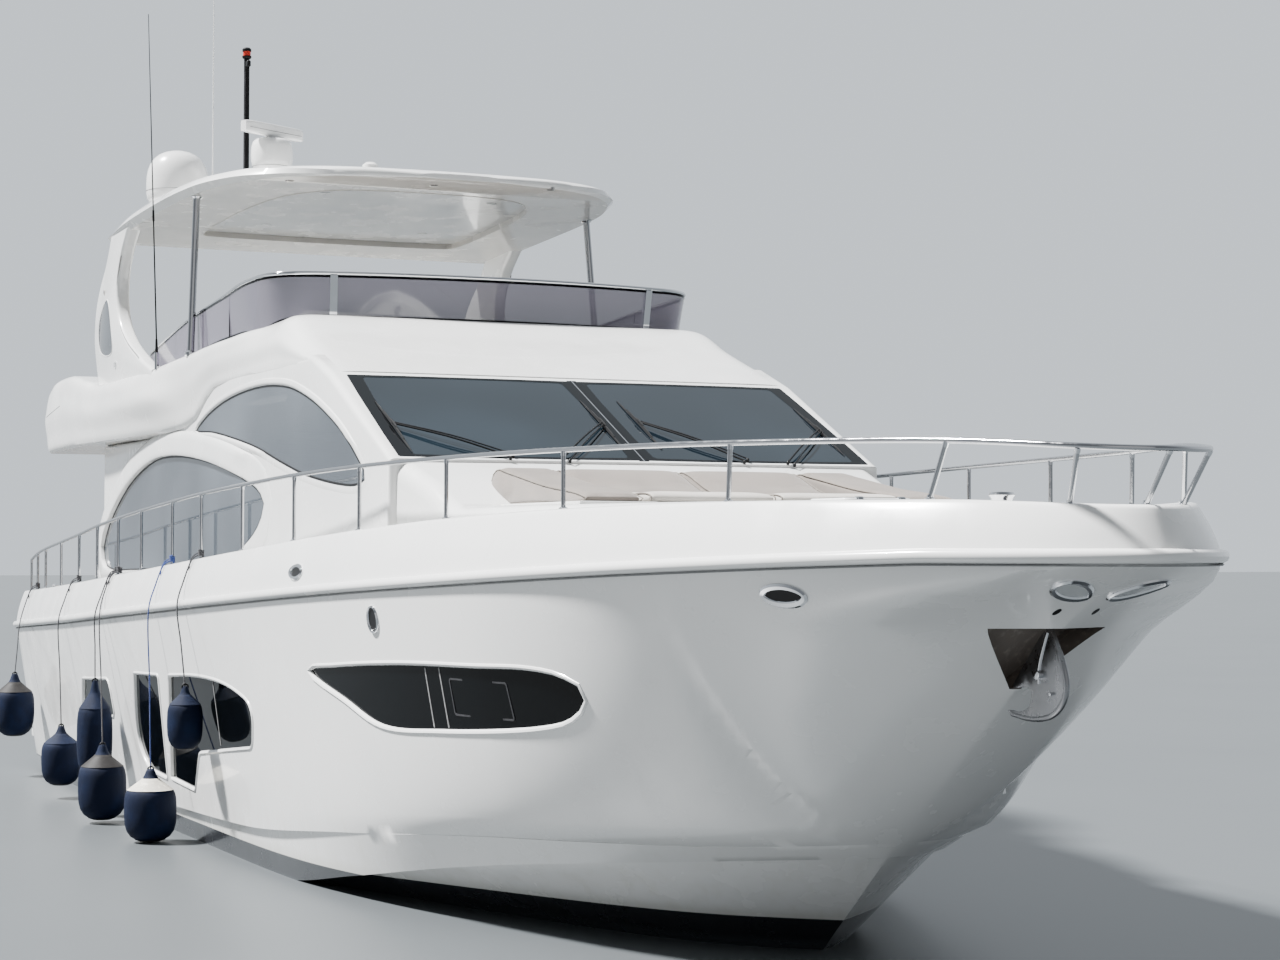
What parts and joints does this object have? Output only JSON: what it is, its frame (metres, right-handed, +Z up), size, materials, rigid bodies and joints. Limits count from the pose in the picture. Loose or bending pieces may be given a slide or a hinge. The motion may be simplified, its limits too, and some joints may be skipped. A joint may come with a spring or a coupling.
{
  "type": "motor yacht",
  "caption": "Flybridge motor yacht with raked windshield, arched side windows, hardtop on swept legs, bow rail, radar, twin propellers and rudders.",
  "frame": {"origin": "amidships on the centreline, at the waterline", "axes": "+X forward to the bow, +Y to port, +Z up"},
  "size_m": [24.08, 6.555, 12.0965],
  "materials": {
    "gelcoat": "gloss",
    "radome": "satin",
    "dark_glass": "gloss",
    "tinted_screen": "gloss",
    "stainless": "polished",
    "bronze": "satin",
    "cushion_cloth": "matt",
    "fender_vinyl": "matt",
    "black_rubber": "satin",
    "teak": "oiled",
    "walnut": "satin"
  },
  "bodies": {
    "boat": {"hull": "gelcoat", "bulwark": "gelcoat", "rub_rail": "gelcoat", "swim_platform": "teak", "side_window_aft_starboard": "dark_glass", "side_window_fore_starboard": "dark_glass", "side_window_aft_port": "dark_glass", "side_window_fore_port": "dark_glass", "windshield_starboard": "dark_glass", "windshield_port": "dark_glass", "deckhouse": "gelcoat", "saloon_door_fixed": "dark_glass", "flybridge": "gelcoat", "foredeck_trunk": "gelcoat", "sunpad": "cushion_cloth", "fly_windscreen": "tinted_screen", "fly_screen_rail": "stainless", "hardtop": "gelcoat", "hardtop_leg_starboard": "gelcoat", "hardtop_leg_port": "gelcoat", "hardtop_post_starboard": "stainless", "hardtop_post_port": "stainless", "radar_pedestal": "radome", "satellite_dome": "radome", "light_mast": "black_rubber", "whip_aerial_starboard": "black_rubber", "whip_aerial_centre": "radome", "bow_rail": "stainless", "anchor": "stainless", "fender_1": "fender_vinyl", "fender_2": "fender_vinyl", "fender_3": "fender_vinyl", "fender_4": "fender_vinyl", "fender_5": "fender_vinyl", "fender_6": "fender_vinyl", "shaft_strut_starboard": "bronze", "shaft_strut_port": "bronze", "helm_console": "walnut", "helm_seats": "cushion_cloth", "saloon_sofa": "cushion_cloth", "saloon_cabinet": "walnut", "cockpit_sofa": "cushion_cloth", "cockpit_table": "teak", "fly_console": "gelcoat", "fly_helm_seat": "cushion_cloth", "fly_sofa": "cushion_cloth", "fly_table": "teak", "fly_stairs": "stainless"},
    "propeller_starboard": {"propeller_starboard": "bronze"},
    "propeller_port": {"propeller_port": "bronze"},
    "rudder_starboard": {"rudder_starboard": "bronze"},
    "rudder_port": {"rudder_port": "bronze"},
    "radar_scanner": {"radar_scanner": "radome"},
    "saloon_door": {"saloon_door": "dark_glass"},
    "garage_door": {"garage_door": "gelcoat"},
    "wiper_outer_starboard": {"wiper_outer_starboard": "black_rubber"},
    "wiper_inner_starboard": {"wiper_inner_starboard": "black_rubber"},
    "wiper_inner_port": {"wiper_inner_port": "black_rubber"},
    "wiper_outer_port": {"wiper_outer_port": "black_rubber"}
  },
  "joints": [
    {"name": "propeller_starboard_turn", "type": "hinge", "parent": "boat", "child": "propeller_starboard", "pos_m": [-9.3, -1, -1.3], "axis": [0.9885, 0, 0.1512], "continuous": true},
    {"name": "propeller_port_turn", "type": "hinge", "parent": "boat", "child": "propeller_port", "pos_m": [-9.3, 1, -1.3], "axis": [0.9885, 0, 0.1512], "continuous": true},
    {"name": "rudder_starboard_turn", "type": "hinge", "parent": "boat", "child": "rudder_starboard", "pos_m": [-10.05, -1, -1], "axis": [0, 0, 1], "range_deg": [-35, 35]},
    {"name": "rudder_port_turn", "type": "hinge", "parent": "boat", "child": "rudder_port", "pos_m": [-10.05, 1, -1], "axis": [0, 0, 1], "range_deg": [-35, 35]},
    {"name": "radar_scanner_turn", "type": "hinge", "parent": "boat", "child": "radar_scanner", "pos_m": [-4.9, -0.85, 8.2], "axis": [0, 0, 1], "continuous": true},
    {"name": "saloon_door_slide", "type": "slide", "parent": "boat", "child": "saloon_door", "axis": [0, 1, 0], "range_m": [0, 1.65]},
    {"name": "garage_door_lift", "type": "hinge", "parent": "boat", "child": "garage_door", "pos_m": [-10.776, 0, 1.59], "axis": [0, 1, 0], "range_deg": [0, 85]},
    {"name": "wiper_outer_starboard_sweep", "type": "hinge", "parent": "boat", "child": "wiper_outer_starboard", "pos_m": [4.2928, -1.3, 3.8735], "axis": [0.4369, 0, 0.8995], "range_deg": [-30, 0]},
    {"name": "wiper_inner_starboard_sweep", "type": "hinge", "parent": "boat", "child": "wiper_inner_starboard", "pos_m": [4.2928, -0.8, 3.8735], "axis": [0.4369, 0, 0.8995], "range_deg": [0, 30]},
    {"name": "wiper_inner_port_sweep", "type": "hinge", "parent": "boat", "child": "wiper_inner_port", "pos_m": [4.2928, 1, 3.8735], "axis": [0.4369, 0, 0.8995], "range_deg": [-30, 0]},
    {"name": "wiper_outer_port_sweep", "type": "hinge", "parent": "boat", "child": "wiper_outer_port", "pos_m": [4.2928, 1.45, 3.8735], "axis": [0.4369, 0, 0.8995], "range_deg": [0, 30]}
  ],
  "couplings": [
    {"joint": "rudder_port_turn", "follows": "rudder_starboard_turn", "ratio": 1},
    {"joint": "wiper_inner_starboard_sweep", "follows": "wiper_outer_starboard_sweep", "ratio": -1},
    {"joint": "wiper_inner_port_sweep", "follows": "wiper_outer_starboard_sweep", "ratio": 1},
    {"joint": "wiper_outer_port_sweep", "follows": "wiper_outer_starboard_sweep", "ratio": -1}
  ]
}
